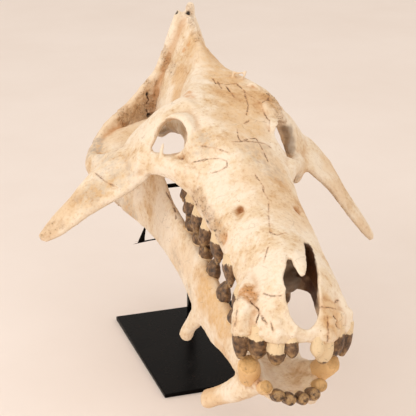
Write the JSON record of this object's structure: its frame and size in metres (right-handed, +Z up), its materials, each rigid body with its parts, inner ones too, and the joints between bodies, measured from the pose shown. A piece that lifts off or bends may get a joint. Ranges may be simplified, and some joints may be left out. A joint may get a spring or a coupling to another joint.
{
  "type": "fossil entelodont skull",
  "caption": "Fossil entelodont skull with its lower jaw a little open, on a black steel museum stand.",
  "frame": {"origin": "middle of the underside of the stand's plate", "axes": "+Z up, -Y the way the snout points, +X towards the skull's own left side"},
  "size_m": [0.4739, 0.6096, 0.4602],
  "materials": {
    "fossil_bone": "dry mineralised bone, cream to tan",
    "stand_steel": "smooth black paint"
  },
  "bodies": {
    "root": {"cranium": "fossil_bone", "mandible": "fossil_bone", "stand_plate": "stand_steel", "stand_post": "stand_steel", "stand_arm_right": "stand_steel", "stand_arm_left": "stand_steel"}
  },
  "joints": []
}
